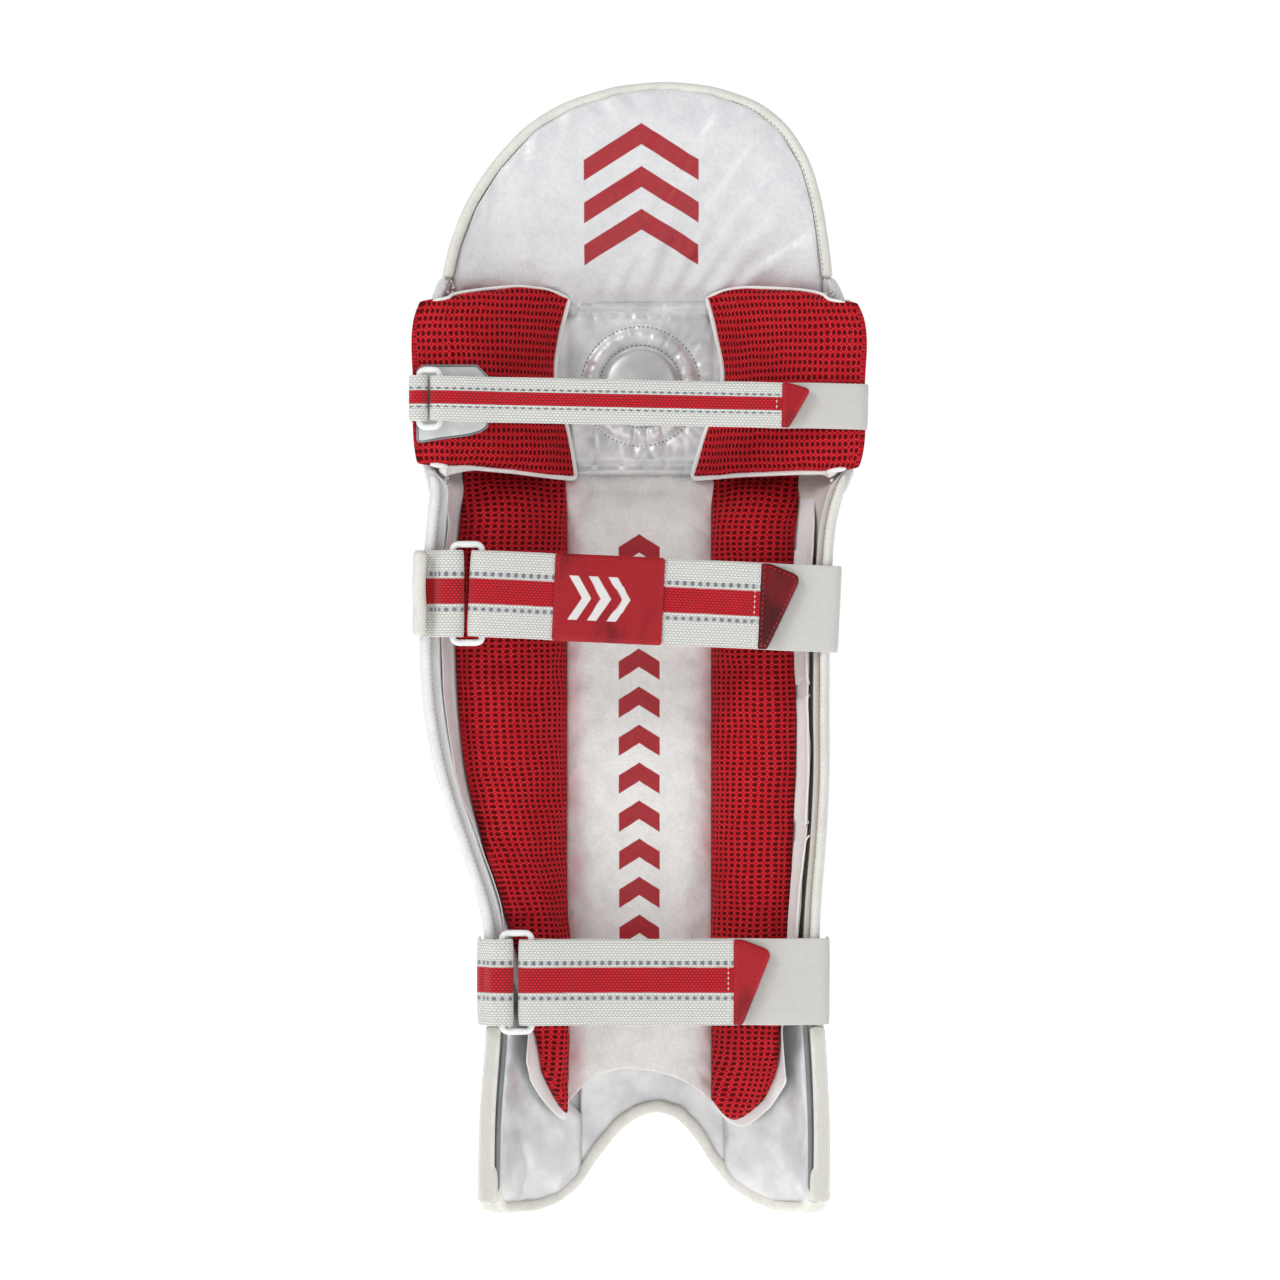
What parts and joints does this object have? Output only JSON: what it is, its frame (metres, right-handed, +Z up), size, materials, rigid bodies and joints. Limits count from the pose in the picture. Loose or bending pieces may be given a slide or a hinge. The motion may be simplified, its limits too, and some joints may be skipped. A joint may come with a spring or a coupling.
{
  "type": "cricket leg pad",
  "caption": "Batting leg pad seen from the leg side: domed top flap, knee wings and cup, padded shin, calf bolsters, split foot and hook-and-loop straps.",
  "frame": {"origin": "middle of the bounding box on the floor, where the two lobes of the foot stand", "axes": "+Z up the leg, -Y the side that lies on the leg, +Y the front that faces the bowler, +X to the right when looking at the leg side"},
  "size_m": [0.281, 0.1226, 0.7],
  "materials": {
    "white_pu": "grained white polyurethane facing, satin",
    "lining_pu": "soft white polyurethane lining",
    "silver_pu": "pearl silver polyurethane, quilted",
    "red_mesh": "red spacer mesh with open holes",
    "cream_pu": "cream binding and inner face",
    "webbing": "white woven webbing with grey and red stripes",
    "loop_pile": "white loop pile",
    "hook_tape": "white hook tape",
    "red_pu": "metallic red polyurethane with a stitched edge",
    "ring_plastic": "translucent white moulded plastic",
    "cane": "plain cane"
  },
  "bodies": {
    "shin": {"shin_shell": "white_pu", "shin_roll_1": "white_pu", "shin_roll_2": "white_pu", "shin_roll_3": "white_pu", "shin_roll_4": "white_pu", "shin_roll_5": "white_pu", "cane_1": "cane", "cane_2": "cane", "cane_3": "cane", "cane_4": "cane", "cane_5": "cane", "centre_lining": "lining_pu", "side_lining_left": "lining_pu", "side_lining_right": "cream_pu", "calf_bolster_left": "red_mesh", "calf_bolster_right": "red_mesh", "bolster_flange_left": "lining_pu", "bolster_flange_right": "lining_pu", "side_binding_left": "cream_pu", "side_binding_right": "cream_pu", "foot_edge_left": "cream_pu", "foot_edge_right": "cream_pu", "foot_pad_left": "silver_pu", "foot_pad_right": "silver_pu", "arch_panel": "silver_pu", "foot_binding": "cream_pu", "calf_tab": "webbing", "calf_loop_strap": "loop_pile", "calf_keeper": "cream_pu", "ankle_tab": "webbing", "ankle_loop_strap": "loop_pile"},
    "knee": {"knee_shell": "white_pu", "knee_roll_1": "white_pu", "knee_roll_2": "white_pu", "knee_roll_3": "white_pu", "knee_cup": "silver_pu", "knee_dome": "silver_pu", "knee_tab": "webbing", "knee_loop_strap": "loop_pile", "knee_ring_guard": "silver_pu"},
    "top_flap": {"flap_front": "white_pu", "flap_lining": "lining_pu", "flap_piping": "cream_pu"},
    "wing_left": {"knee_wing_left": "red_mesh"},
    "wing_right": {"knee_wing_right": "red_mesh"},
    "knee_ring_body": {"knee_ring": "ring_plastic"},
    "knee_strap_free": {"knee_strap_end": "webbing", "knee_hook_patch": "hook_tape", "knee_strap_tip": "red_pu"},
    "calf_ring_body": {"calf_ring": "ring_plastic"},
    "calf_strap_free": {"calf_strap_end": "webbing", "calf_hook_patch": "hook_tape", "calf_strap_tip": "red_pu", "calf_strap_badge": "red_pu"},
    "ankle_ring_body": {"ankle_ring": "ring_plastic"},
    "ankle_strap_free": {"ankle_strap_end": "webbing", "ankle_hook_patch": "hook_tape", "ankle_strap_tip": "red_pu"}
  },
  "joints": [
    {"name": "knee_flex", "type": "hinge", "parent": "shin", "child": "knee", "pos_m": [-0.00005, 0.0016, 0.451], "axis": [1, 0, 0], "range_deg": [-5, 10]},
    {"name": "flap_flex", "type": "hinge", "parent": "knee", "child": "top_flap", "pos_m": [-0.00005, 0.0096, 0.569], "axis": [1, 0, 0], "range_deg": [-6, 10]},
    {"name": "wing_left_swing", "type": "hinge", "parent": "knee", "child": "wing_left", "pos_m": [-0.12705, -0.0344, 0.51], "axis": [0, 0, -1], "range_deg": [0, 20]},
    {"name": "wing_right_swing", "type": "hinge", "parent": "knee", "child": "wing_right", "pos_m": [0.12695, -0.0344, 0.51], "axis": [0, 0, 1], "range_deg": [0, 20]},
    {"name": "knee_ring_swing", "type": "hinge", "parent": "knee", "child": "knee_ring_body", "pos_m": [-0.13405, -0.04875, 0.502], "axis": [0, 0, 1], "range_deg": [-5, 5]},
    {"name": "knee_strap_peel", "type": "hinge", "parent": "knee", "child": "knee_strap_free", "pos_m": [-0.117, -0.0541, 0.50191], "axis": [-0.0192, 0, -0.9998], "range_deg": [0, 100]},
    {"name": "calf_ring_swing", "type": "hinge", "parent": "shin", "child": "calf_ring_body", "pos_m": [-0.11355, -0.05475, 0.383], "axis": [0, 0, 1], "range_deg": [-2.5, 2.5]},
    {"name": "calf_strap_peel", "type": "hinge", "parent": "shin", "child": "calf_strap_free", "pos_m": [-0.091, -0.0601, 0.38279], "axis": [-0.0454, 0, -0.999], "range_deg": [0, 100]},
    {"name": "ankle_ring_swing", "type": "hinge", "parent": "shin", "child": "ankle_ring_body", "pos_m": [-0.08355, -0.04975, 0.146], "axis": [0, 0, 1], "range_deg": [-5, 5]},
    {"name": "ankle_strap_peel", "type": "hinge", "parent": "shin", "child": "ankle_strap_free", "pos_m": [-0.061, -0.0551, 0.146], "axis": [0, 0, -1], "range_deg": [0, 100]}
  ]
}
